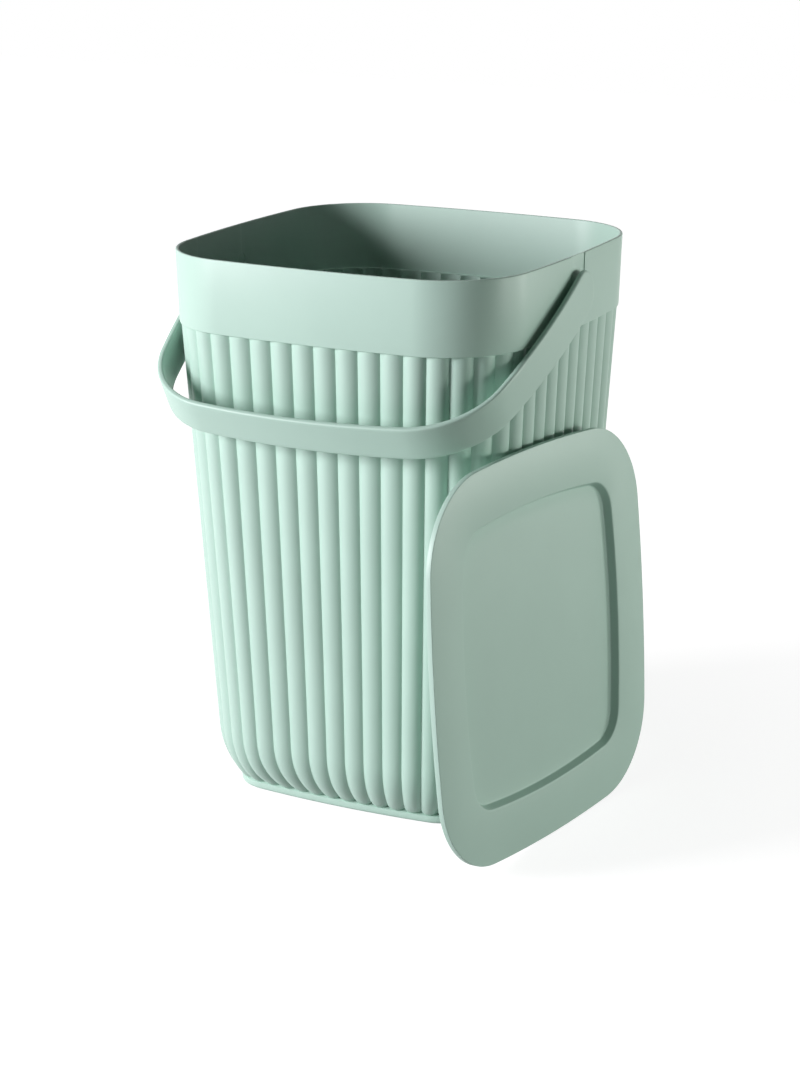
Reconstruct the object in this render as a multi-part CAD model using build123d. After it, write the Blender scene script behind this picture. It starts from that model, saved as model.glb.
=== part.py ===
from build123d import *
import math
import os

# Square waste bin with fluted sides, a bail handle and a lift-off lid.
# Millimetres. The origin is on the floor, at the middle of the tub's base.
# +Z is up, -Y is the front, where the handle hangs. The lid leans on the +X side.

# Tub
rim_height = 300.0
rim_half_width = 102.4          # at the middle of a side
rim_corner_radius = 46.7
side_bulge = 6.5                # how far a side bows out between its ends
wall = 1.6
floor_thickness = 2.0
collar_height = 39.2            # smooth band round the top
collar_draft = 1.0              # half width that the collar loses over its height
collar_step = 0.8               # from the collar's lower edge in to the rib crests
collar_edge_bevel = 0.4         # along the outer step
lip_bevel = 0.4                 # along the rim, inside and out
ledge_drop = 1.8                # inside, the smooth band ends this much above the outer step

# Ribs
ribs_per_side = 14
rib_draft = 12.4                # half width that the crests would lose down to the floor
rib_depth_share = 0.195         # depth of a rib over its width
corner_growth = 4.8             # how much rounder the corners are at the floor line
bend_radius = 38.0              # crests curve in towards the foot
bend_angle = 51.5
bend_steps = 3
bowl_step = 1.0                 # from the ends of the inner flutes in to the smooth bowl
foot_corner_radius = 22.0
foot_bulge = 5.1

# Plinth
plinth_height = 4.5
plinth_margin = 0.4             # the plinth stands this far outside the rib toes
plinth_edge_bevel = 0.6

# Handle pivots
pivot_drop = 20.0               # below the rim
stud_radius = 3.95
stud_clearance = 0.05
stud_recess = 0.2               # the stud ends this far short of the inner wall
channel_width = 18.0            # shallow lead-in groove from the rim down to the pivot
channel_depth = 0.5
hub_radius = 7.0
hub_gap = 0.3

# Handle
handle_side_gap = 2.0           # between the rim and an arm
handle_front_gap = 26.0         # how far past the rim the front bar passes, swung level
handle_thickness = 3.0
handle_bar_radius = 560.0       # bow of the front bar
handle_arm_radius = 430.0       # bow of the arms
handle_arm_crown = 12.0         # the arms stand widest this far out from the pivots
handle_corner_growth = 0.8      # its corners are this much rounder than the rim's
pivot_width = 23.9
grip_width = 19.6
handle_edge = 0.7               # chamfer along the strap
hang_angle = 28.4               # below the horizontal, at rest

# Lid
lid_overhang = 2.1
lid_thickness = 3.0
lid_edge_bevel = 0.7
lid_fit_clearance = 0.5
lid_rib_width = 1.6
lid_rib_depth = 2.0
panel_half_width = 76.3
panel_corner_radius = 19.0
panel_bulge = 5.7
panel_depth = 4.5
panel_draft = 1.2
panel_wall = 2.2
panel_edge_bevel = 0.7

# The lid's place, leaning on the side of the tub
lean_angle = 4.4
lean_turn = 6.6
lean_roll = -0.9
lean_shift = 36.4               # towards the front, along the lid's own width
lean_gap = 0.3
reach_steps = 400               # places round the wall where its reach is read
edge_steps = 8                  # and along each edge of the handle

# Worked out from the sizes above
collar_bottom = rim_height - collar_height
collar_base_half_width = rim_half_width - collar_draft
rib_top_half_width = collar_base_half_width - collar_step
rib_top_corner_radius = rim_corner_radius - collar_step
rib_count = 4 * ribs_per_side
bend_top = plinth_height + bend_radius * math.sin(math.radians(bend_angle))
bend_inset = bend_radius * (1 - math.cos(math.radians(bend_angle)))
ledge_height = collar_bottom + ledge_drop
pivot_height = rim_height - pivot_drop
pivot_wall = rim_half_width - collar_draft * pivot_drop / collar_height
handle_half_width = rim_half_width + handle_side_gap + handle_thickness
handle_reach = rim_half_width + handle_front_gap + handle_thickness
handle_corner_radius = rim_corner_radius + handle_corner_growth


def corner_centre(half_width, corner_radius, bulge):
    """Distance along X and Y from the middle to the centre of a corner arc."""
    side_radius = (half_width**2 + bulge**2) / (2 * bulge)
    side_centre = half_width - side_radius
    reach = side_radius - corner_radius
    return (side_centre + math.sqrt(2 * reach**2 - side_centre**2)) / 2


def outline(half_width, corner_radius, bulge, z=0.0):
    """Square with bowed sides and round corners, all arcs tangent."""
    side_radius = (half_width**2 + bulge**2) / (2 * bulge)
    side_centre = half_width - side_radius
    corner = corner_centre(half_width, corner_radius, bulge)
    slope = math.atan2(corner, corner - side_centre)
    end_x = side_centre + side_radius * math.cos(slope)
    end_y = side_radius * math.sin(slope)
    tip = corner + corner_radius * math.sqrt(0.5)
    quarter = [
        ThreePointArc((end_x, -end_y), (half_width, 0), (end_x, end_y)),
        ThreePointArc((end_x, end_y), (tip, tip), (end_y, end_x)),
    ]
    turns = [Rot(0, 0, 90 * k) * arc for k in range(4) for arc in quarter]
    return Pos(0, 0, z) * Wire(turns)


def half_width_at(z):
    """Half width over the rib crests, before the bend is taken off."""
    return rib_top_half_width - rib_draft * (collar_bottom - z) / collar_bottom


def corner_radius_at(z):
    return rib_top_corner_radius + corner_growth * (collar_bottom - z) / collar_bottom


def crest_outline(z, tilt=0.0, inset=0.0):
    """Outline over the rib crests; in the bend the crests tilt inwards."""
    taken = bend_radius * (1 - math.cos(math.radians(tilt)))
    share = taken / bend_inset
    corner = corner_radius_at(z) + share * (foot_corner_radius - corner_radius_at(z))
    bulge = side_bulge + share * (foot_bulge - side_bulge)
    return outline(half_width_at(z) - taken - inset, corner - inset, bulge, z)


def ribbed(crest, depth):
    """Closed wire of an arc for each rib: crests on the given outline, sharp valleys inside it."""
    side_middle = crest.edges()[0].length / 2 / crest.length
    arcs = []
    for rib in range(rib_count):
        places = [side_middle + (rib + part) / rib_count for part in (0, 0.5, 1)]
        points = [crest.position_at(place % 1) for place in places]
        for end in (0, 2):
            along = crest.tangent_at(places[end] % 1)
            points[end] += Vector(-along.Y, along.X, 0) * depth
        arcs.append(ThreePointArc(*points))
    return Wire(arcs)


def rib_depth(z, tilt=0.0):
    """Depth of the valleys, square to the wall."""
    return rib_depth_share * crest_outline(z, tilt).length / rib_count


def fluted_outside(z, tilt=0.0):
    slant = 1 / math.cos(math.radians(tilt))
    return ribbed(crest_outline(z, tilt), rib_depth(z, tilt) * slant)


def fluted_inside(z):
    """The same wall from inside: arcs one wall thickness in."""
    width = crest_outline(z).length / rib_count
    depth = rib_depth(z)
    rib_radius = (width**2 / 4 + depth**2) / (2 * depth)
    inner_radius = rib_radius - wall
    crest = crest_outline(z, inset=wall)
    flute_width = crest.length / rib_count
    flute_depth = inner_radius - math.sqrt(inner_radius**2 - flute_width**2 / 4)
    return ribbed(crest, flute_depth)


def bend_levels():
    """Height and tilt at each level of the bend, from the straight wall to the toes."""
    tilts = [bend_angle * step / bend_steps for step in range(bend_steps + 1)]
    return [(bend_top - bend_radius * math.sin(math.radians(tilt)), tilt) for tilt in tilts]


def bowl_outline(z, tilt):
    slant = 1 / math.cos(math.radians(tilt))
    return crest_outline(z, tilt, (wall + rib_depth(z, tilt)) * slant + bowl_step)


def stack(*wires):
    return Solid.make_loft(wires, True)


def collar_outline(z, inset=0.0):
    half_width = rim_half_width - inset - collar_draft * (rim_height - z) / collar_height
    return outline(half_width, rim_corner_radius - inset, side_bulge, z)


def bevelled(size):
    """Inset and height at the two ends of a bevelled edge, from its side up to its flat."""
    return [(0, 0), (size, size)]


def make_collar():
    """The smooth band, solid as yet, with bevels along its step and its lip."""
    lower = [
        collar_outline(collar_bottom + collar_edge_bevel - rise, inset)
        for inset, rise in reversed(bevelled(collar_edge_bevel))
    ]
    upper = [
        collar_outline(rim_height - lip_bevel + rise, inset)
        for inset, rise in bevelled(lip_bevel)
    ]
    return stack(*lower, *upper)


def make_plinth():
    levels = [
        Pos(0, 0, plinth_edge_bevel - rise - plinth_height)
        * crest_outline(plinth_height, bend_angle, inset - plinth_margin)
        for inset, rise in reversed(bevelled(plinth_edge_bevel))
    ]
    top = crest_outline(plinth_height, bend_angle, -plinth_margin)
    return stack(*levels, top)


def make_cavity():
    """Everything that the walls enclose, reaching a little past the rim."""
    lip = [
        collar_outline(rim_height - lip_bevel + rise, wall - inset)
        for inset, rise in bevelled(lip_bevel)
    ]
    above = Pos(0, 0, lip_bevel) * lip[-1]
    band = stack(collar_outline(ledge_height, wall), *lip, above)
    flutes = stack(fluted_inside(ledge_height), fluted_inside(bend_top))
    bowl = [bowl_outline(z, tilt) for z, tilt in bend_levels()]
    bowl.append(Pos(0, 0, floor_thickness - plinth_height) * bowl[-1])
    return band + flutes + stack(*bowl)


def make_channels():
    """Shallow lead-in grooves from the rim down to the pivots, on both sides."""
    half = channel_width / 2
    groove = Pos(0, rim_height - pivot_drop / 2) * Rectangle(channel_width, pivot_drop)
    groove += Pos(0, pivot_height) * Circle(half)
    bar = extrude(Plane.YZ * groove, rim_half_width + wall, both=True)
    core = stack(collar_outline(collar_bottom, channel_depth), collar_outline(rim_height, channel_depth))
    return bar - core


def bar_along_x(radius, start, end):
    """Round bar along X, centred on the pivot line."""
    return extrude(Plane((start, 0, 0), z_dir=(1, 0, 0)) * Circle(radius), end - start)


def make_tub():
    ribs = stack(fluted_outside(collar_bottom), fluted_outside(bend_top))
    bend = stack(*[fluted_outside(z, tilt) for z, tilt in bend_levels()])
    tub = make_collar() + ribs + bend + make_plinth()
    tub -= make_cavity()
    tub -= make_channels()
    reach = rim_half_width + wall
    bore = bar_along_x(stud_radius + stud_clearance, -reach, reach)
    return tub - Pos(0, 0, pivot_height) * bore


def bail_outline(inset):
    """Face of the handle seen square on, from the pivots out to the front bar."""
    bar_centre = handle_reach - handle_bar_radius
    arm_centre = handle_half_width - handle_arm_radius
    face = Pos(0, bar_centre) * Circle(handle_bar_radius - inset)
    for side in (1, -1):
        face &= Pos(side * arm_centre, handle_arm_crown) * Circle(handle_arm_radius - inset)
    face &= Pos(0, handle_reach / 2) * Rectangle(4 * handle_half_width, 2 * handle_reach)
    corners = face.vertices().group_by(Axis.Y)[-1]
    return fillet(corners, handle_corner_radius - inset)


def make_handle():
    """A flat strap bent to a U; it narrows from its round ends to the grip."""
    strap = extrude(bail_outline(0) - bail_outline(handle_thickness), pivot_width, both=True)
    end = pivot_width / 2
    grip = grip_width / 2
    tip = handle_reach + handle_thickness
    side = Polygon((0, -end), (tip, -grip), (tip, grip), (0, end), align=None)
    side += Circle(end)
    strap &= extrude(Plane.YZ * side, 2 * handle_half_width, both=True)
    rims = [edge for edge in strap.edges() if edge.length > handle_thickness + 1]
    strap = chamfer(rims, handle_edge)
    arm = handle_half_width - handle_thickness / 2
    for side in (0, 180):
        hub = bar_along_x(hub_radius, pivot_wall - channel_depth + hub_gap, arm)
        stud = bar_along_x(stud_radius, pivot_wall - wall + stud_recess, arm)
        strap += Rot(0, side, 0) * (hub + stud)
    return strap


def lid_outline(z, inset=0.0):
    grown = lid_overhang - inset
    return outline(rim_half_width + grown, rim_corner_radius + grown, side_bulge, z)


def panel_outline(z, inset=0.0):
    return outline(panel_half_width - inset, panel_corner_radius - inset, panel_bulge, z)


def make_lid():
    """The lid lying face up, with the outside of its rim at z = 0."""
    under = [
        lid_outline(lid_edge_bevel - rise - lid_thickness, inset)
        for inset, rise in reversed(bevelled(lid_edge_bevel))
    ]
    over = [lid_outline(rise - lid_edge_bevel, inset) for inset, rise in bevelled(lid_edge_bevel)]
    flange = stack(*under, *over)
    seat = wall + lid_fit_clearance
    rib = Face(collar_outline(-lid_thickness - lid_rib_depth + rim_height, seat))
    rib -= Face(collar_outline(-lid_thickness - lid_rib_depth + rim_height, seat + lid_rib_width))
    rib = Pos(0, 0, -rim_height) * extrude(rib, lid_rib_depth)
    boss = stack(
        panel_outline(-panel_depth - panel_wall, panel_draft - panel_wall),
        panel_outline(-lid_edge_bevel, -panel_wall),
    )
    floor = [
        panel_outline(panel_edge_bevel - rise - panel_depth, panel_draft + inset)
        for inset, rise in reversed(bevelled(panel_edge_bevel))
    ]
    brim = [
        panel_outline(rise - panel_edge_bevel, -inset)
        for inset, rise in bevelled(panel_edge_bevel)
    ]
    above = panel_outline(panel_edge_bevel, -panel_edge_bevel)
    return flange + rib + boss - stack(*floor, *brim, above)


def tub_reach(z, direction):
    """How far the tub's wall reaches in a level direction, at one height."""
    wire = crest_outline(z) if z < collar_bottom else collar_outline(z)
    return max((wire @ (step / reach_steps)).dot(direction) for step in range(reach_steps))


def handle_points():
    """Places along every edge of the hanging handle."""
    return [edge @ (step / edge_steps) for edge in handle.edges() for step in range(edge_steps + 1)]


def lean(lid):
    """Stands the lid on the floor; it leans on what reaches furthest to the +X side."""
    turn = math.radians(lean_turn)
    tilt = math.radians(lean_angle)
    outwards = Vector(math.cos(turn), -math.sin(turn), 0)
    backwards = Vector(math.sin(turn), math.cos(turn), 0)
    facing = outwards * math.cos(tilt) + Vector(0, 0, math.sin(tilt))
    place = Plane((0, 0, 0), x_dir=backwards, z_dir=facing)
    leaning = place * Rot(0, 0, lean_roll) * lid
    lift = -leaning.bounding_box().min.Z
    half_width = rim_half_width
    touching = [
        (half_width + lid_overhang, lid_thickness),
        (half_width - wall - lid_fit_clearance, lid_thickness + lid_rib_depth),
        (panel_half_width + panel_wall, panel_depth + panel_wall),
    ]
    away = 0.0
    for up, depth in touching:
        height = lift + up * math.cos(tilt) - depth * math.sin(tilt)
        reach = tub_reach(height, outwards)
        away = max(away, reach + up * math.sin(tilt) + depth * math.cos(tilt))
    top = lift + leaning.bounding_box().max.Z
    for point in handle_points():
        if point.Z < top:
            depth = (lid_thickness + lid_rib_depth) / math.cos(tilt)
            away = max(away, point.dot(outwards) + (point.Z - lift) * math.tan(tilt) + depth)
    offset = outwards * (away + lean_gap) - backwards * lean_shift + Vector(0, 0, lift)
    return Pos(*offset) * leaning


tub = make_tub()
handle = Pos(0, 0, pivot_height) * Rot(180 + hang_angle, 0, 0) * make_handle()
lid = lean(make_lid())

os.makedirs("parts", exist_ok=True)
for name, piece in (("tub", tub), ("handle", handle), ("lid", lid)):
    export_step(piece, f"parts/{name}.step")
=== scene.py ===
import math

import bmesh
import bpy
from mathutils import Matrix, Vector


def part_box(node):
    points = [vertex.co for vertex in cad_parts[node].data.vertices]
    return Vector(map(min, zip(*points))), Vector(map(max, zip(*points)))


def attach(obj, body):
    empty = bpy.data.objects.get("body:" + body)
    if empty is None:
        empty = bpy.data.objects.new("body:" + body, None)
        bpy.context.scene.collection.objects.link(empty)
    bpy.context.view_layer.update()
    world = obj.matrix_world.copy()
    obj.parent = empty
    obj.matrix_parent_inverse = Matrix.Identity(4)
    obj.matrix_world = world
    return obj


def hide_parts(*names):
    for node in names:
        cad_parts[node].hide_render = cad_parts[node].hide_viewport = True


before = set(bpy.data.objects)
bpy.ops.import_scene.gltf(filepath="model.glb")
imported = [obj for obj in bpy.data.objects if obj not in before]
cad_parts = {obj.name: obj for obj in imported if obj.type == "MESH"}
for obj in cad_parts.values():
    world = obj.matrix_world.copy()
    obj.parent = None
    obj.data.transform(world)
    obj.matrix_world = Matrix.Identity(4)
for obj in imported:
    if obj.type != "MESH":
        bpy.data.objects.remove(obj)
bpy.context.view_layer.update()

MM = 0.001
NEAR = 0.01 * MM
MERGED = 0.002 * MM

# Tub, in millimetres
rim_height = 300.0
rim_half_width = 102.4
rim_corner_radius = 46.7
side_bulge = 6.5
wall = 1.6
floor_thickness = 2.0
floor_inset = 1.5
collar_height = 39.2
collar_draft = 1.0
collar_step = 0.8
collar_edge_radius = 0.6
lip_radius = 0.6
ledge_drop = 1.8
ledge_bevel = 0.3

rib_count = 56
rib_draft = 12.4
rib_depth_share = 0.195
corner_growth = 4.8
bend_radius = 38.0
bend_angle = 51.5
bowl_step = 1.0
flute_end_rise = 0.6
foot_corner_radius = 22.0
foot_bulge = 5.1
plinth_height = 4.5
plinth_margin = 0.4
plinth_edge_radius = 2.2
plinth_bevel = 0.3
toe_rise = 1.3

pivot_drop = 20.0
channel_width = 18.0
channel_depth = 0.5
channel_plug_length = 6.0
stud_radius = 3.95
stud_clearance = 0.05
stud_recess = 0.2
hub_radius = 7.0
hub_gap = 0.3
hub_edge = 0.3
stud_edge = 0.4

# Handle, in millimetres
handle_reach = 131.4
handle_half_width = 107.4
handle_thickness = 3.0
handle_bar_radius = 560.0
handle_arm_radius = 430.0
handle_arm_crown = 12.0
handle_corner_radius = 47.5
pivot_width = 23.9
grip_width = 19.6
handle_rounding = 1.1
hang_angle = 28.4

# Lid, in millimetres
lid_overhang = 2.1
lid_thickness = 3.0
lid_edge_radius = 0.35
lid_fit_clearance = 0.5
lid_rib_width = 1.6
lid_rib_depth = 2.0
lid_rib_bevel = 0.3
panel_half_width = 76.3
panel_corner_radius = 19.0
panel_bulge = 5.7
panel_depth = 4.5
panel_draft = 1.2
panel_wall = 2.2
panel_edge_radius = 0.9
panel_under_bevel = 0.4
panel_rim_width = 8.0
lean_angle = 4.4
lean_turn = 6.6
lean_roll = -0.9

floor_drop = 0.4

# Fineness of the meshes
corners_per_rib = 12
edge_steps = 4
collar_edge_steps = 3
bend_steps = 12
rib_steps = 6
flute_steps = 4
strap_edge_steps = 5
strap_end_steps = 12
strap_arm_steps = 12
strap_corner_steps = 18
strap_bar_steps = 12
lid_corners = 288
pin_corners = 48
pin_edge_steps = 3
channel_corners = 96
bore_corners = 64

# Colours
plastic_colour = (0.42, 0.60, 0.512, 1)
# Painted highlight: a lighter colour laid along sharp edges, standing in for the light they catch
painted_edge_highlight_colour = (0.62, 0.80, 0.71, 1)
floor_colour = (0.35, 0.35, 0.35, 1)

# Worked out
collar_bottom = rim_height - collar_height
collar_base_half_width = rim_half_width - collar_draft
rib_top_half_width = collar_base_half_width - collar_step
rib_top_corner_radius = rim_corner_radius - collar_step
bend_top = plinth_height + bend_radius * math.sin(math.radians(bend_angle))
bend_inset = bend_radius * (1 - math.cos(math.radians(bend_angle)))
ledge_height = collar_bottom + ledge_drop
pivot_height = rim_height - pivot_drop
pivot_wall = rim_half_width - collar_draft * pivot_drop / collar_height
tub_corners = rib_count * corners_per_rib


# Outlines

class Outline:
    """Square with bowed sides and round corners, walked round from the middle of the +X side."""

    def __init__(self, half_width, corner_radius, bulge):
        self.bow = (half_width**2 + bulge**2) / (2 * bulge)
        self.bow_centre = half_width - self.bow
        reach = self.bow - corner_radius
        self.corner = (self.bow_centre + math.sqrt(2 * reach**2 - self.bow_centre**2)) / 2
        self.corner_radius = corner_radius
        self.slope = math.atan2(self.corner, self.corner - self.bow_centre)
        self.side = self.bow * self.slope
        self.quarter = 2 * self.side + corner_radius * (math.pi / 2 - 2 * self.slope)
        self.length = 4 * self.quarter

    def at(self, share):
        """Point and outward direction at a share of the way round."""
        turns, along = divmod((share % 1) * self.length, self.quarter)
        if along < self.side:
            angle = along / self.bow
            centre, radius = (self.bow_centre, 0), self.bow
        elif along > self.quarter - self.side:
            angle = math.pi / 2 - (self.quarter - along) / self.bow
            centre, radius = (0, self.bow_centre), self.bow
        else:
            angle = self.slope + (along - self.side) / self.corner_radius
            centre, radius = (self.corner, self.corner), self.corner_radius
        outward = Vector((math.cos(angle), math.sin(angle)))
        point = Vector(centre) + radius * outward
        turn = Matrix.Rotation(turns * math.pi / 2, 2)
        return turn @ point, turn @ outward


def smooth_ring(outline, z, corners):
    """Corners spread evenly over an outline at one height."""
    ring = []
    for number in range(corners):
        point = outline.at(number / corners)[0]
        ring.append(Vector((point.x, point.y, z)))
    return ring


def fluted_ring(outline, depth, z, rise=0.0):
    """The outline with round ribs on it, whose valleys may lie higher than the crests."""
    width = outline.length / rib_count
    radius = (width**2 / 4 + depth**2) / (2 * depth)
    ring = []
    for number in range(tub_corners):
        point, outward = outline.at(number / tub_corners)
        across = (number % corners_per_rib / corners_per_rib - 0.5) * width
        drop = radius - math.sqrt(radius**2 - across**2)
        point = point - outward * drop
        ring.append(Vector((point.x, point.y, z + rise * drop / depth)))
    return ring


def quarter_round(radius, steps):
    """Inset and rise along a rounded edge, from its side to its flat."""
    turns = [math.pi / 2 * step / steps for step in range(steps + 1)]
    return [(radius * (1 - math.cos(turn)), radius * math.sin(turn)) for turn in turns]


# Modelling steps

def wrap(name, rings):
    """A skin over a pile of rings: one circle, drawn on from ring to ring, its two ends closed."""
    bpy.ops.object.select_all(action="DESELECT")
    bpy.ops.mesh.primitive_circle_add(vertices=len(rings[0]), radius=MM)
    piece = bpy.context.active_object
    piece.name = piece.data.name = name
    bpy.ops.object.mode_set(mode="EDIT")
    mesh = bmesh.from_edit_mesh(piece.data)
    place = mesh.verts.layers.int.new("place")
    for number, corner in enumerate(mesh.verts):
        corner[place] = number
        corner.co = rings[0][number] * MM
    for ring in rings[1:]:
        bpy.ops.mesh.extrude_region_move()
        mesh = bmesh.from_edit_mesh(piece.data)
        place = mesh.verts.layers.int["place"]
        for corner in mesh.verts:
            if corner.select:
                corner.co = ring[corner[place]] * MM
    bpy.ops.mesh.edge_face_add()
    bpy.ops.mesh.select_all(action="SELECT")
    bpy.ops.mesh.remove_doubles(threshold=MERGED)
    bpy.ops.mesh.select_all(action="DESELECT")
    bpy.ops.mesh.select_non_manifold(extend=False)
    bpy.ops.mesh.edge_face_add()
    bpy.ops.mesh.select_all(action="SELECT")
    bpy.ops.mesh.normals_make_consistent(inside=False)
    bpy.ops.object.mode_set(mode="OBJECT")
    return piece


def pick(piece):
    """Makes a piece the only selected and the active one."""
    bpy.ops.object.select_all(action="DESELECT")
    piece.select_set(True)
    bpy.context.view_layer.objects.active = piece


def round_bar(corners, radius, start, end, height=0.0):
    """A cylinder that lies along X, with its place in its mesh."""
    bpy.ops.object.select_all(action="DESELECT")
    bpy.ops.mesh.primitive_cylinder_add(
        vertices=corners,
        radius=radius * MM,
        depth=(end - start) * MM,
        location=((start + end) / 2 * MM, 0, height * MM),
        rotation=(0, math.pi / 2, 0),
    )
    bpy.ops.object.transform_apply(location=True, rotation=True, scale=True)
    return bpy.context.active_object


def turned_pin(name, radius, start, end, edge):
    """A round bar with the rim bevelled at its start."""
    pin = round_bar(pin_corners, radius, start, end)
    pin.name = pin.data.name = name
    bpy.ops.object.mode_set(mode="EDIT")
    mesh = bmesh.from_edit_mesh(pin.data)
    bpy.ops.mesh.select_all(action="DESELECT")
    for rim in mesh.edges:
        if all(abs(corner.co.x - start * MM) < NEAR for corner in rim.verts):
            rim.select = True
    mesh.select_flush(True)
    bpy.ops.mesh.bevel(offset=edge * MM, segments=pin_edge_steps)
    bpy.ops.object.mode_set(mode="OBJECT")
    return pin


def join(piece, *others):
    pick(piece)
    for other in others:
        other.select_set(True)
    bpy.ops.object.join()


def carve(piece, tool):
    """Takes the tool's shape out of the piece."""
    cut = piece.modifiers.new("cut", "BOOLEAN")
    cut.object = tool
    cut.operation = "DIFFERENCE"
    cut.solver = "EXACT"
    pick(piece)
    bpy.ops.object.modifier_apply(modifier=cut.name)
    bpy.data.objects.remove(tool)


def finish_piece(piece, node, body, material, sharp):
    """Shading, material and place in the frame. Edges over the sharp angle stay crisp."""
    pick(piece)
    bpy.ops.object.shade_smooth_by_angle(angle=math.radians(sharp))
    piece.data.materials.clear()
    piece.data.materials.append(material)
    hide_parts(node)
    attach(piece, body)


# Tub

def collar_outline(z, inset=0.0):
    """The collar at one height, straight but for its draft."""
    half_width = rim_half_width - inset - collar_draft * (rim_height - z) / collar_height
    return Outline(half_width, rim_corner_radius - inset, side_bulge)


def crest_outline(z, tilt=0.0, inset=0.0):
    """The ribs' crests at one height. Tilt is how far the wall has bent in."""
    taken = bend_radius * (1 - math.cos(tilt))
    share = taken / bend_inset
    drop = (collar_bottom - z) / collar_bottom
    corner = rib_top_corner_radius + corner_growth * drop
    corner += share * (foot_corner_radius - corner)
    bulge = side_bulge + share * (foot_bulge - side_bulge)
    half_width = rib_top_half_width - rib_draft * drop
    return Outline(half_width - taken - inset, corner - inset, bulge)


def rib_depth(z, tilt=0.0):
    return rib_depth_share * crest_outline(z, tilt).length / rib_count


def fluted_inside(z):
    """The same wall from inside: arcs one wall thickness in."""
    width = crest_outline(z).length / rib_count
    depth = rib_depth(z)
    inner_radius = (width**2 / 4 + depth**2) / (2 * depth) - wall
    crest = crest_outline(z, 0.0, wall)
    flute_width = crest.length / rib_count
    return fluted_ring(crest, inner_radius - math.sqrt(inner_radius**2 - flute_width**2 / 4), z)


def make_tub():
    rings = []

    def level(outline, z):
        rings.append(smooth_ring(outline, z, tub_corners))

    full_tilt = math.radians(bend_angle)
    bend = []
    for step in range(bend_steps + 1):
        tilt = full_tilt * step / bend_steps
        bend.append((tilt, bend_top - bend_radius * math.sin(tilt)))

    # Plinth, from below
    for inset, rise in reversed(quarter_round(plinth_edge_radius, edge_steps)):
        outline = crest_outline(plinth_height, full_tilt, inset - plinth_margin)
        level(outline, plinth_edge_radius - rise)
    level(crest_outline(plinth_height, full_tilt, -plinth_margin), plinth_height - plinth_bevel)
    level(crest_outline(plinth_height, full_tilt, plinth_bevel - plinth_margin), plinth_height)

    # Ribs
    for step in range(bend_steps, -1, -1):
        tilt, z = bend[step]
        rise = toe_rise if step == bend_steps else 0.0
        depth = rib_depth(z, tilt) / math.cos(tilt)
        rings.append(fluted_ring(crest_outline(z, tilt), depth, z, rise))
    for step in range(1, rib_steps + 1):
        z = bend_top + (collar_bottom - bend_top) * step / rib_steps
        rings.append(fluted_ring(crest_outline(z), rib_depth(z), z))

    # Collar and lip
    for inset, rise in reversed(quarter_round(collar_edge_radius, collar_edge_steps)):
        z = collar_bottom + collar_edge_radius - rise
        level(collar_outline(z, inset), z)
    for inset, rise in quarter_round(lip_radius, edge_steps):
        z = rim_height - lip_radius + rise
        level(collar_outline(z, inset), z)
    for inset, rise in reversed(quarter_round(lip_radius, edge_steps)):
        z = rim_height - lip_radius + rise
        level(collar_outline(z, wall - inset), z)

    # Inside: ledge, flutes, bowl and floor
    level(collar_outline(ledge_height + ledge_bevel, wall), ledge_height + ledge_bevel)
    level(collar_outline(ledge_height, wall + ledge_bevel), ledge_height)
    for step in range(flute_steps + 1):
        rise = (bend_top + flute_end_rise - ledge_height) * step / flute_steps
        rings.append(fluted_inside(ledge_height + rise))
    for tilt, z in bend:
        inset = (wall + rib_depth(z, tilt)) / math.cos(tilt) + bowl_step
        level(crest_outline(z, tilt, inset), z)
    level(crest_outline(plinth_height, full_tilt, inset + floor_inset), floor_thickness)

    tub = wrap("ribbed_tub", rings)
    for side in (1, -1):
        carve(tub, channel_tool(side))
    bore_reach = 1.1 * rim_half_width
    bore_radius = stud_radius + stud_clearance
    carve(tub, round_bar(bore_corners, bore_radius, -bore_reach, bore_reach, pivot_height))
    return tub


def channel_tool(side):
    """A round-ended plug, laid along the sloping wall, that cuts the lead-in groove."""
    plug_end = channel_plug_length - channel_depth
    tool = round_bar(channel_corners, channel_width / 2, -channel_depth, plug_end)
    bpy.ops.object.mode_set(mode="EDIT")
    mesh = bmesh.from_edit_mesh(tool.data)
    for corner in mesh.verts:
        if corner.co.z > NEAR:
            corner.co.z += 2 * pivot_drop * MM
    bmesh.update_edit_mesh(tool.data)
    bpy.ops.object.mode_set(mode="OBJECT")
    slope = math.atan(collar_draft / collar_height)
    pivot = Vector((pivot_wall, 0, pivot_height)) * MM
    place = Matrix.Translation(pivot) @ Matrix.Rotation(slope, 4, "Y")
    if side < 0:
        place = Matrix.Rotation(math.pi, 4, "Z") @ place
    tool.data.transform(place)
    return tool


# Handle

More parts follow.
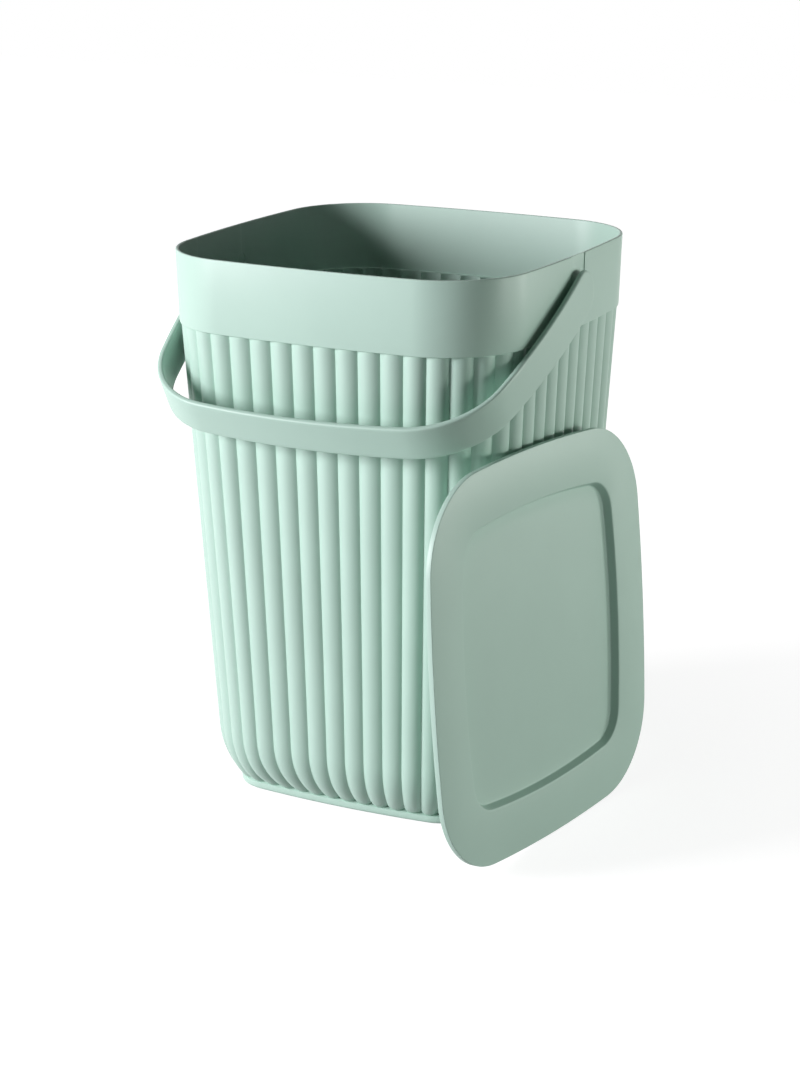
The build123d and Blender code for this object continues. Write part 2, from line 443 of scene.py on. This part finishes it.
def bail_stations():
    """Points along the strap's outer face with the directions square to it, from end to end."""
    bar_centre = Vector((0, handle_reach - handle_bar_radius))
    arm_centre = Vector((handle_half_width - handle_arm_radius, handle_arm_crown))
    bar_reach = handle_bar_radius - handle_corner_radius
    arm_reach = handle_arm_radius - handle_corner_radius
    between = arm_centre - bar_centre
    apart = between.length
    along = (bar_reach**2 - arm_reach**2 + apart**2) / (2 * apart)
    off = math.sqrt(bar_reach**2 - along**2)
    axis = between / apart
    corner = bar_centre + axis * along + Vector((axis.y, -axis.x)) * off
    bar_turn = math.atan2(corner.y - bar_centre.y, corner.x - bar_centre.x)
    arm_turn = math.atan2(corner.y - arm_centre.y, corner.x - arm_centre.x)
    end = pivot_width / 2
    stations = []

    def add(centre, radius, turn):
        outward = Vector((math.cos(turn), math.sin(turn)))
        stations.append((centre + outward * radius, outward))

    def arm_at(y):
        return math.asin((y - handle_arm_crown) / handle_arm_radius)

    def sweep(centre, radius, start, stop, steps):
        for step in range(1, steps + 1):
            add(centre, radius, start + (stop - start) * step / steps)

    for inset, _ in quarter_round(handle_rounding, strap_edge_steps):
        add(arm_centre, handle_arm_radius, arm_at(inset - end))
    for step in range(1, strap_end_steps + 1):
        y = -(end - handle_rounding) * math.cos(math.pi / 2 * step / strap_end_steps)
        add(arm_centre, handle_arm_radius, arm_at(y))
    sweep(arm_centre, handle_arm_radius, arm_at(0), arm_turn, strap_arm_steps)
    sweep(corner, handle_corner_radius, arm_turn, bar_turn, strap_corner_steps)
    sweep(bar_centre, handle_bar_radius, bar_turn, math.pi / 2, strap_bar_steps)
    for point, outward in reversed(stations[:-1]):
        stations.append((Vector((-point.x, point.y)), Vector((-outward.x, outward.y))))
    return stations


def strap_half_width(y):
    """Half the strap's width, round at the pivot and narrower towards the grip."""
    end = pivot_width / 2
    if y < 0:
        return math.sqrt(max(end**2 - y**2, 0))
    tip = handle_reach + handle_thickness
    return end + (grip_width / 2 - end) * y / tip


def make_handle():
    half = handle_thickness / 2
    insets = [inset for inset, _ in quarter_round(handle_rounding, strap_edge_steps)]
    rings = []
    for point, outward in bail_stations():
        edge = strap_half_width(point.y)
        widths = [max(edge - inset, 0) for inset in insets]
        widths += [widths[-1] * share for share in (0.8, 0.4, 0)]
        front = []
        for width in widths:
            if point.y < 0:
                inset = pivot_width / 2 - math.hypot(width, point.y)
            else:
                inset = edge - width
            inset = min(max(inset, 0), handle_rounding)
            fall = handle_rounding - math.sqrt(handle_rounding**2 - (handle_rounding - inset) ** 2)
            front.append((width, half - fall))
        profile = front + [(-width, rise) for width, rise in reversed(front[:-1])]
        profile += [(width, -rise) for width, rise in reversed(profile)]
        ring = []
        for width, rise in profile:
            place = point + outward * (rise - half)
            ring.append(Vector((place.x, place.y, width)))
        rings.append(ring)
    handle = wrap("carry_handle", rings)
    arm = handle_half_width - handle_thickness / 2
    hub_start = pivot_wall - channel_depth + hub_gap
    stud_start = pivot_wall - wall + stud_recess
    pins = [
        turned_pin("hub", hub_radius, hub_start, arm, hub_edge),
        turned_pin("stud", stud_radius, stud_start, arm, stud_edge),
    ]
    for pin in list(pins):
        pick(pin)
        bpy.ops.object.duplicate(linked=False)
        other = bpy.context.active_object
        other.data.transform(Matrix.Rotation(math.pi, 4, "Z"))
        pins.append(other)
    join(handle, *pins)
    hang = Matrix.Rotation(math.radians(180 + hang_angle), 4, "X")
    handle.data.transform(Matrix.Translation(Vector((0, 0, pivot_height * MM))) @ hang)
    return handle


# Lid

def lid_outline(inset=0.0):
    grown = lid_overhang - inset
    return Outline(rim_half_width + grown, rim_corner_radius + grown, side_bulge)


def panel_outline(inset=0.0):
    return Outline(panel_half_width - inset, panel_corner_radius - inset, panel_bulge)


def under_rim(inset, z):
    """A ring as wide as the rim is where the locating rib ends, less an inset."""
    drop = lid_thickness + lid_rib_depth
    half_width = rim_half_width - inset - collar_draft * drop / collar_height
    return smooth_ring(Outline(half_width, rim_corner_radius - inset, side_bulge), z, lid_corners)


def make_lid():
    def level(outline, z):
        rings.append(smooth_ring(outline, z, lid_corners))

    rings = []

    # Panel from below
    bottom = -panel_depth - panel_wall
    under_inset = panel_draft - panel_wall
    level(panel_outline(under_inset + panel_rim_width), bottom)
    level(panel_outline(under_inset + panel_under_bevel), bottom)
    level(panel_outline(under_inset), bottom + panel_under_bevel)
    level(panel_outline(-panel_wall), -lid_thickness)

    # Locating rib
    seat = wall + lid_fit_clearance
    back = seat + lid_rib_width
    tip = -lid_thickness - lid_rib_depth
    rings.append(under_rim(back, -lid_thickness))
    rings.append(under_rim(back, tip + lid_rib_bevel))
    rings.append(under_rim(back - lid_rib_bevel, tip))
    rings.append(under_rim(seat + lid_rib_bevel, tip))
    rings.append(under_rim(seat, tip + lid_rib_bevel))
    rings.append(under_rim(seat, -lid_thickness))

    # Flange and sunk panel
    for inset, rise in reversed(quarter_round(lid_edge_radius, edge_steps)):
        level(lid_outline(inset), lid_edge_radius - rise - lid_thickness)
    for inset, rise in quarter_round(lid_edge_radius, edge_steps):
        level(lid_outline(inset), rise - lid_edge_radius)
    for inset, rise in reversed(quarter_round(panel_edge_radius, edge_steps)):
        level(panel_outline(-inset), rise - panel_edge_radius)
    for inset, rise in quarter_round(panel_edge_radius, edge_steps):
        level(panel_outline(panel_draft + inset), panel_edge_radius - rise - panel_depth)
    level(panel_outline(panel_draft + panel_rim_width), -panel_depth)

    lid = wrap("flat_lid", rings)
    turn = math.radians(lean_turn)
    tilt = math.radians(lean_angle)
    outwards = Vector((math.cos(turn), -math.sin(turn), 0))
    backwards = Vector((math.sin(turn), math.cos(turn), 0))
    facing = outwards * math.cos(tilt) + Vector((0, 0, math.sin(tilt)))
    place = Matrix((backwards, facing.cross(backwards), facing)).transposed().to_4x4()
    lid.data.transform(place @ Matrix.Rotation(math.radians(lean_roll), 4, "Z"))

    # The middle of its box goes where the solid's is
    corners = [corner.co for corner in lid.data.vertices]
    low = Vector([min(corner[axis] for corner in corners) for axis in range(3)])
    high = Vector([max(corner[axis] for corner in corners) for axis in range(3)])
    cad_low, cad_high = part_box("lid")
    lid.data.transform(Matrix.Translation((cad_low + cad_high - low - high) / 2))
    return lid


# Finishes

def value_range(nodes, from_min, from_max, to_min, to_max):
    """A node that turns one range of values into another."""
    node = nodes.new("ShaderNodeMapRange")
    node.inputs["From Min"].default_value = from_min
    node.inputs["From Max"].default_value = from_max
    node.inputs["To Min"].default_value = to_min
    node.inputs["To Max"].default_value = to_max
    return node


def plastic_group():
    """Moulded plastic: faint clouding of the colour, a satin skin, and a painted highlight along
    sharp edges that makes them lighter in colour and glossier.
    """
    group = bpy.data.node_groups.new("moulded_plastic", "ShaderNodeTree")
    for way, name, kind in (
        ("INPUT", "Colour", "NodeSocketColor"),
        ("INPUT", "Clouding", "NodeSocketFloat"),
        ("INPUT", "Grain", "NodeSocketFloat"),
        ("OUTPUT", "Colour", "NodeSocketColor"),
        ("OUTPUT", "Roughness", "NodeSocketFloat"),
        ("OUTPUT", "Normal", "NodeSocketVector"),
    ):
        group.interface.new_socket(name, in_out=way, socket_type=kind)
    nodes, links = group.nodes, group.links
    entry = nodes.new("NodeGroupInput")
    result = nodes.new("NodeGroupOutput")
    where = nodes.new("ShaderNodeTexCoord")

    clouds = nodes.new("ShaderNodeTexNoise")
    clouds.inputs["Scale"].default_value = 22
    clouds.inputs["Detail"].default_value = 4
    links.new(where.outputs["Object"], clouds.inputs["Vector"])
    spread = value_range(nodes, 0.3, 0.7, -1, 1)
    links.new(clouds.outputs["Fac"], spread.inputs["Value"])
    amount = nodes.new("ShaderNodeMath")
    amount.operation = "MULTIPLY_ADD"
    amount.inputs[2].default_value = 1
    links.new(spread.outputs["Result"], amount.inputs[0])
    links.new(entry.outputs["Clouding"], amount.inputs[1])
    shade = nodes.new("ShaderNodeVectorMath")
    shade.operation = "SCALE"
    links.new(entry.outputs["Colour"], shade.inputs[0])
    links.new(amount.outputs["Value"], shade.inputs["Scale"])

    # Painted highlight along sharp edges: where Pointiness is high, the colour turns lighter and
    # the roughness drops
    edges = nodes.new("ShaderNodeNewGeometry")
    edge_highlight_mask = value_range(nodes, 0.52, 0.62, 0, 0.35)
    links.new(edges.outputs["Pointiness"], edge_highlight_mask.inputs["Value"])
    painted_highlight = nodes.new("ShaderNodeMix")
    painted_highlight.data_type = "RGBA"
    painted_highlight.inputs["B"].default_value = painted_edge_highlight_colour
    links.new(edge_highlight_mask.outputs["Result"], painted_highlight.inputs["Factor"])
    links.new(shade.outputs["Vector"], painted_highlight.inputs["A"])
    links.new(painted_highlight.outputs["Result"], result.inputs["Colour"])

    skin = nodes.new("ShaderNodeTexNoise")
    skin.inputs["Scale"].default_value = 1400
    skin.inputs["Detail"].default_value = 2
    links.new(where.outputs["Object"], skin.inputs["Vector"])
    gloss = value_range(nodes, 0, 1, 0.36, 0.47)
    links.new(skin.outputs["Fac"], gloss.inputs["Value"])
    edge_gloss = nodes.new("ShaderNodeMath")
    edge_gloss.operation = "MULTIPLY_ADD"
    edge_gloss.inputs[1].default_value = -0.15
    links.new(edge_highlight_mask.outputs["Result"], edge_gloss.inputs[0])
    links.new(gloss.outputs["Result"], edge_gloss.inputs[2])
    links.new(edge_gloss.outputs["Value"], result.inputs["Roughness"])
    relief = nodes.new("ShaderNodeBump")
    relief.inputs["Distance"].default_value = 0.00002
    links.new(entry.outputs["Grain"], relief.inputs["Strength"])
    links.new(skin.outputs["Fac"], relief.inputs["Height"])
    links.new(relief.outputs["Normal"], result.inputs["Normal"])
    return group


def sage_plastic(name, group, clouding, grain):
    material = bpy.data.materials.new(name)
    material.use_nodes = True
    nodes, links = material.node_tree.nodes, material.node_tree.links
    shader = nodes["Principled BSDF"]
    shader.inputs["IOR"].default_value = 1.49
    shader.inputs["Specular IOR Level"].default_value = 0.4
    skin = nodes.new("ShaderNodeGroup")
    skin.node_tree = group
    skin.inputs["Colour"].default_value = plastic_colour
    skin.inputs["Clouding"].default_value = clouding
    skin.inputs["Grain"].default_value = grain
    links.new(skin.outputs["Colour"], shader.inputs["Base Color"])
    links.new(skin.outputs["Roughness"], shader.inputs["Roughness"])
    links.new(skin.outputs["Normal"], shader.inputs["Normal"])
    return material


# Setting

def seen_directly(tree):
    """One where the camera, a reflection or a clear body looks at a surface, else nothing."""
    nodes, links = tree.nodes, tree.links
    path = nodes.new("ShaderNodeLightPath")
    direct = nodes.new("ShaderNodeMath")
    direct.operation = "MAXIMUM"
    links.new(path.outputs["Is Camera Ray"], direct.inputs[0])
    links.new(path.outputs["Is Glossy Ray"], direct.inputs[1])
    seen = nodes.new("ShaderNodeMath")
    seen.operation = "MAXIMUM"
    links.new(direct.outputs["Value"], seen.inputs[0])
    links.new(path.outputs["Is Transmission Ray"], seen.inputs[1])
    return seen.outputs["Value"]


def make_floor():
    """A pale floor that goes over into the white round it and keeps the object's shadow."""
    bpy.ops.object.select_all(action="DESELECT")
    bpy.ops.mesh.primitive_plane_add(size=6, location=(0, 0, -floor_drop * MM))
    floor = bpy.context.active_object
    floor.name = "floor"
    material = bpy.data.materials.new("pale_floor")
    material.use_nodes = True
    tree = material.node_tree
    nodes, links = tree.nodes, tree.links
    paint = nodes["Principled BSDF"]
    paint.inputs["Base Color"].default_value = floor_colour
    paint.inputs["Roughness"].default_value = 0.7
    where = nodes.new("ShaderNodeTexCoord")
    distance = nodes.new("ShaderNodeVectorMath")
    distance.operation = "LENGTH"
    links.new(where.outputs["Object"], distance.inputs[0])
    fade = value_range(nodes, 0.16, 0.55, 0.88, 1)
    links.new(distance.outputs["Value"], fade.inputs["Value"])
    glow = nodes.new("ShaderNodeEmission")
    links.new(fade.outputs["Result"], glow.inputs["Strength"])
    shadowed = nodes.new("ShaderNodeBsdfDiffuse")
    shadowed.inputs["Color"].default_value = floor_colour
    both = nodes.new("ShaderNodeAddShader")
    links.new(glow.outputs["Emission"], both.inputs[0])
    links.new(shadowed.outputs["BSDF"], both.inputs[1])
    mix = nodes.new("ShaderNodeMixShader")
    links.new(seen_directly(tree), mix.inputs["Fac"])
    links.new(paint.outputs["BSDF"], mix.inputs[1])
    links.new(both.outputs["Shader"], mix.inputs[2])
    links.new(mix.outputs["Shader"], nodes["Material Output"].inputs["Surface"])
    floor.data.materials.append(material)


def make_world():
    """White where it is seen, and nearly dark as a light."""
    world = bpy.data.worlds.new("studio")
    bpy.context.scene.world = world
    world.use_nodes = True
    tree = world.node_tree
    nodes, links = tree.nodes, tree.links
    soft = nodes["Background"]
    soft.inputs["Color"].default_value = (1, 1, 1, 1)
    soft.inputs["Strength"].default_value = 0.02
    plain = nodes.new("ShaderNodeBackground")
    plain.inputs["Color"].default_value = (1, 1, 1, 1)
    plain.inputs["Strength"].default_value = 1
    mix = nodes.new("ShaderNodeMixShader")
    links.new(seen_directly(tree), mix.inputs["Fac"])
    links.new(soft.outputs["Background"], mix.inputs[1])
    links.new(plain.outputs["Background"], mix.inputs[2])
    links.new(mix.outputs["Shader"], nodes["World Output"].inputs["Surface"])


def area_lamp(name, place, colour, width, height, power):
    """A lamp in metres and watts that looks at the object's middle."""
    data = bpy.data.lights.new(name, "AREA")
    data.shape = "RECTANGLE"
    data.size = width
    data.size_y = height
    data.color = colour
    data.energy = power
    lamp = bpy.data.objects.new(name, data)
    bpy.context.collection.objects.link(lamp)
    lamp.visible_camera = False
    lamp.location = place
    aim = Vector((0, 0, 0.15)) - Vector(place)
    lamp.rotation_euler = aim.to_track_quat("-Z", "Y").to_euler()


def make_camera():
    """The camera of the photograph, without blur."""
    data = bpy.data.cameras.new("camera")
    data.sensor_width = 36
    data.lens = 86.65
    camera = bpy.data.objects.new("camera", data)
    bpy.context.collection.objects.link(camera)
    right = Vector((0.88663, 0.46248, 0.00006)).normalized()
    back = Vector((0.44344, -0.85016, 0.28389)).normalized()
    up = back.cross(right).normalized()
    turn = Matrix((right, up, back)).transposed().to_4x4()
    camera.matrix_world = Matrix.Translation((0.62708, -1.20518, 0.53822)) @ turn
    bpy.context.scene.camera = camera


skin = plastic_group()
tub_finish = sage_plastic("sage_plastic_tub", skin, 0.02, 0.3)
handle_finish = sage_plastic("sage_plastic_handle", skin, 0.015, 0.2)
lid_finish = sage_plastic("sage_plastic_lid", skin, 0.015, 0.3)

finish_piece(make_tub(), "tub", "tub", tub_finish, 32)
finish_piece(make_handle(), "handle", "handle", handle_finish, 40)
finish_piece(make_lid(), "lid", "lid", lid_finish, 40)

make_floor()
make_world()
area_lamp("key", (-1.16, -1.3, 0.62), (1.0, 0.95, 1.0), 0.6, 0.8, 44.5)
area_lamp("side", (1.75, 0.35, 0.16), (0.97, 1.0, 0.96), 0.4, 0.28, 8)
area_lamp("rear", (1.4, 1.14, 0.16), (0.97, 1.0, 0.96), 0.4, 0.28, 8)
make_camera()
bpy.context.scene.view_settings.view_transform = "Standard"
